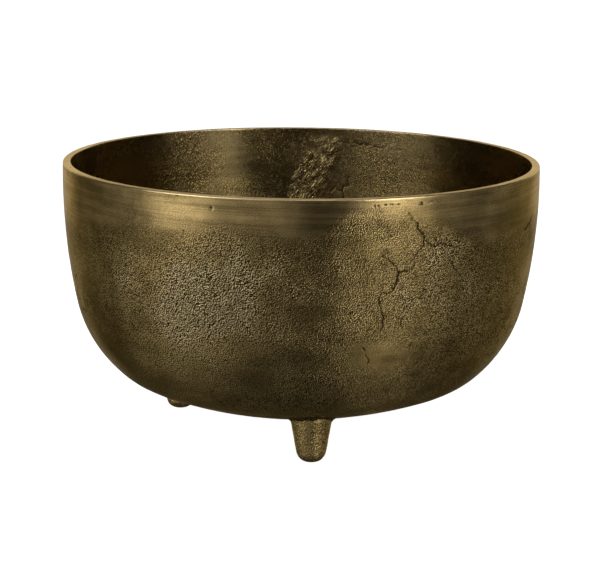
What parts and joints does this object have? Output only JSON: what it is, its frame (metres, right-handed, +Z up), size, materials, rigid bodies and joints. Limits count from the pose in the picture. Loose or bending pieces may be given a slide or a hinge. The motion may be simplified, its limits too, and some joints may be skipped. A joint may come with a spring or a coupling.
{
  "type": "urli bowl",
  "caption": "Deep round cast brass urli bowl with a nearly upright wall, a rounded underside and short tapered stub feet brazed on, for floating flowers or as a planter.",
  "frame": {"origin": "on the floor that the feet stand on, on the bowl's axis", "axes": "+Z up along the bowl's axis, -Y towards the front foot, +X to the right of it"},
  "size_m": [0.3002, 0.3002, 0.1722],
  "materials": {
    "antique_brass": "dark antique patina, turned satin band under a polished rim, sand-cast grain below",
    "foot_brass": "as cast, rough grain, lighter where handled",
    "braze_brass": "as run, uneven bead"
  },
  "bodies": {
    "root": {"bowl_shell": "antique_brass", "foot_front": "foot_brass", "braze_front": "braze_brass", "foot_rear_right": "foot_brass", "braze_rear_right": "braze_brass", "foot_rear_left": "foot_brass", "braze_rear_left": "braze_brass"}
  },
  "joints": []
}
